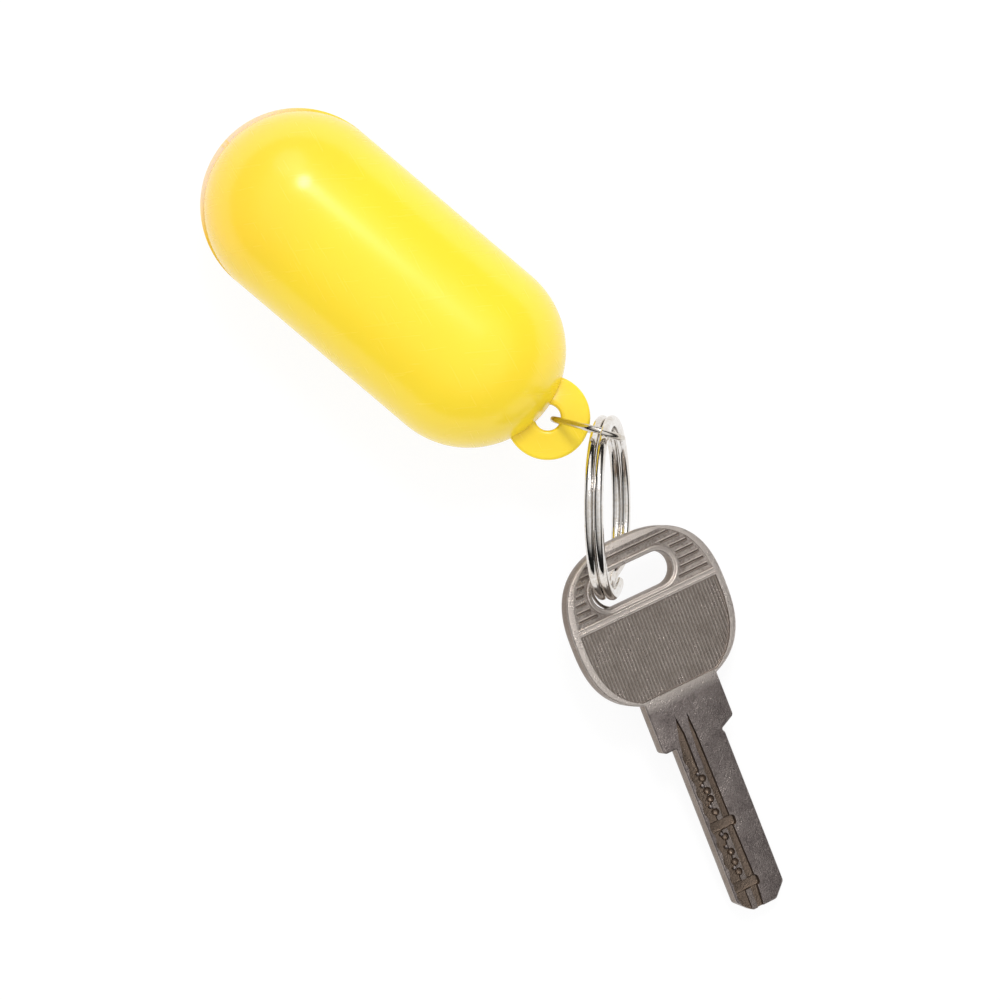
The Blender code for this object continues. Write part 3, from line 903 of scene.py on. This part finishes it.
def channel_outlines():
    """The two long grooves, the left one with a wavy outer wall, and the land between them."""
    tip = -KEY_LENGTH - GROOVE_DEPTH
    wave = []
    y = -WAVE_TOP
    while y > tip:
        shift = WAVE_DEPTH * math.sin(2 * math.pi * y / WAVE_LENGTH)
        wave.append((LEFT_GROOVE_OUTER + shift, y))
        y -= WAVE_LENGTH / WAVE_STEPS
    left = [
        *LEFT_GROOVE_TOP, (LEFT_GROOVE_INNER, tip), (LEFT_GROOVE_OUTER, tip),
        *reversed(wave), LEFT_GROOVE_SHOULDER,
    ]
    right = [
        *RIGHT_GROOVE_SIDE, (RIGHT_GROOVE_END, tip), (RIGHT_GROOVE_INNER, tip),
        *RIGHT_GROOVE_TOP,
    ]
    land = [
        (LAND_LEFT, -LAND_TOP), (LAND_RIGHT, -LAND_TOP), (LAND_RIGHT, tip), (LAND_LEFT, tip),
    ]
    return left, right, land


def cutters_for(name, face):
    """All that is cut out of one face of the key."""
    tools = []
    head = plate(f"{name} head", [band_outline(BOW_BORDER, BARS[0], BOW_BORDER)],
                 face - HEAD_DEPTH, face + FIELD_DEPTH, HEAD_CUT_EDGE)
    ring = plate(f"{name} ring", [slot_outline(COLLAR_REACH)], 0, KEY_THICKNESS, HEAD_CUT_EDGE)
    combine(head, ring, "DIFFERENCE")
    tools.append(head)
    tools.append(plate(f"{name} field", [band_outline(FIELD_TOP, FIELD_FOOT, BOW_BORDER)],
                       face - FIELD_DEPTH, face + FIELD_DEPTH, FIELD_CUT_EDGE))
    tools.append(bars(f"{name} lines", head_lines(face - HEAD_DEPTH - SINK, 0), LINE_RADIUS))
    left, right, land = channel_outlines()
    for outline, depth in ((left, GROOVE_DEPTH), (right, GROOVE_DEPTH), (land, LAND_DEPTH)):
        tools.append(plate(f"{name} groove", [outline], face - depth, face + depth,
                           GROOVE_CUT_EDGE))
    for start in CROSS_CUTS:
        cut = rounded([
            (CROSS_CUT_LEFT, -start, CROSS_CUT_CORNER),
            (CROSS_CUT_RIGHT, -start, CROSS_CUT_CORNER),
            (CROSS_CUT_RIGHT, -start - CROSS_CUT_LENGTH, CROSS_CUT_TIGHT_CORNER),
            (CROSS_CUT_LEFT, -start - CROSS_CUT_LENGTH, CROSS_CUT_CORNER),
        ])
        tools.append(plate(f"{name} cross cut", [cut], face - CROSS_CUT_DEPTH,
                           face + CROSS_CUT_DEPTH, CROSS_CUT_EDGE))
    for place in PITS:
        bpy.ops.mesh.primitive_uv_sphere_add(
            segments=24, ring_count=12, radius=PIT_RADIUS,
            location=(PIT_X, -place, face - LAND_DEPTH - SINK),
        )
        pit = new_piece(f"{name} pit")
        apply_place(pit)
        tools.append(pit)
    return tools


def make_key(metal, place):
    face = KEY_THICKNESS / 2
    blank = plate("key_body", [key_outline(), slot_outline(0)], -face, face, KEY_EDGE)
    half_turn = Matrix.Rotation(math.pi, 4, "Y")
    for side in ("front", "back"):
        turned = half_turn if side == "back" else Matrix.Identity(4)
        for tool in cutters_for(side, face):
            tool.data.transform(turned)
            combine(blank, tool, "DIFFERENCE")
        collar, dividers, ribs = face_bars(face - COLLAR_RADIUS / 3)
        raised = (
            bars(f"{side} collar", [collar], COLLAR_RADIUS, True),
            bars(f"{side} dividers", dividers, BAR_RADIUS),
            bars(f"{side} ribs", ribs, RIB_RADIUS),
            bars(f"{side} crests", head_lines(face - HEAD_DEPTH - SINK, CREST_SHIFT), CREST_RADIUS),
            *high_spots(side, face),
        )
        for bar in raised:
            bar.data.transform(turned)
            combine(blank, bar, "UNION")
    blank.matrix_world = place
    apply_place(blank)
    finish_piece(blank, "key", "key", metal, KEY_SMOOTH_ANGLE)


# Studio

def white_floor():
    """A white floor that shows only a faint shadow."""
    bpy.ops.mesh.primitive_plane_add(size=FLOOR_SIZE, location=(0, 0, 0))
    floor = new_piece("floor")
    made = bpy.data.materials.new("floor")
    made.use_nodes = True
    tree = made.node_tree
    tree.nodes.clear()
    paper = node(tree, "ShaderNodeBsdfDiffuse", {"Color": FLOOR_PAPER})
    glow = node(tree, "ShaderNodeEmission", {"Color": WHITE, "Strength": FLOOR_GLOW})
    rays = node(tree, "ShaderNodeLightPath").outputs
    seen = maths(tree, "MAXIMUM", rays["Is Camera Ray"], rays["Is Glossy Ray"])
    seen = maths(tree, "MAXIMUM", seen, rays["Is Transmission Ray"])
    mixed = node(tree, "ShaderNodeMixShader", {
        0: maths(tree, "MULTIPLY", seen, FLOOR_GLOW_SHARE),
        1: paper.outputs["BSDF"], 2: glow.outputs["Emission"],
    })
    node(tree, "ShaderNodeOutputMaterial", {"Surface": mixed.outputs["Shader"]})
    floor.data.materials.append(made)


def sky():
    """White to the camera, even for soft light, and for mirror rays bright only overhead."""
    world = bpy.context.scene.world or bpy.data.worlds.new("studio")
    bpy.context.scene.world = world
    world.use_nodes = True
    tree = world.node_tree
    tree.nodes.clear()
    rays = node(tree, "ShaderNodeLightPath").outputs
    aim = node(tree, "ShaderNodeTexCoord").outputs["Generated"]
    height = node(tree, "ShaderNodeSeparateXYZ", {"Vector": aim}).outputs["Z"]
    dome = ramp(tree, height, 0.42, 0.82, 0.02, 1.1, interpolation_type="SMOOTHSTEP")
    side = node(tree, "ShaderNodeVectorMath", {
        0: aim, 1: picture_right * 0.8 + picture_up * 0.6,
    }, operation="DOT_PRODUCT").outputs["Value"]
    mirrored = maths(tree, "MULTIPLY", dome, ramp(tree, side, -0.7, 0.4, 0.45, 1.0))
    unseen = between(tree, rays["Is Glossy Ray"], SOFT_LIGHT, mirrored)
    strength = between(tree, rays["Is Camera Ray"], unseen, 1.0)
    light = node(tree, "ShaderNodeBackground", {"Color": WHITE, "Strength": strength})
    node(tree, "ShaderNodeOutputWorld", {"Surface": light.outputs["Background"]})


def lamp(name, place, aim, radius, power, colour):
    data = bpy.data.lights.new(name, "AREA")
    data.shape = "DISK"
    data.size = 2 * radius
    data.energy = power
    data.color = colour
    light = bpy.data.objects.new(name, data)
    bpy.context.scene.collection.objects.link(light)
    light.location = place
    light.rotation_euler = (aim - place).to_track_quat("-Z", "Y").to_euler()


def studio():
    white_floor()
    sky()
    far_cap = Vector((lower_low.x + float_radius, float_y, 2 * float_radius))
    for name, (right, up, height), radius, power, colour in LAMPS:
        place = far_cap + picture_right * right + picture_up * up + Vector((0, 0, height))
        lamp(name, place, far_cap, radius, power, colour)


def camera():
    data = bpy.data.cameras.new("camera")
    data.sensor_width = SENSOR
    data.sensor_fit = "HORIZONTAL"
    data.lens = SENSOR * CAMERA_HEIGHT / VIEW_WIDTH
    data.clip_start = CAMERA_NEAR
    eye = bpy.data.objects.new("camera", data)
    bpy.context.scene.collection.objects.link(eye)
    eye.location = VIEW_CENTRE + Vector((0, 0, CAMERA_HEIGHT))
    eye.rotation_euler = (0, 0, VIEW_TURN)
    bpy.context.scene.camera = eye


camera()
scratches = scratch_group()
blotches = mottle_group()
make_float(float_plastic(scratches))
make_link(plated_steel("link_steel", scratches, blotches, LINK_NICKEL, 0.10, 0.24))
make_ring(plated_steel("ring_steel", scratches, blotches, RING_NICKEL, 0.05, 0.16))
key_matrix = key_place()
make_key(key_metal(scratches, blotches, key_matrix), key_matrix)
studio()
bpy.context.scene.view_settings.view_transform = "Standard"
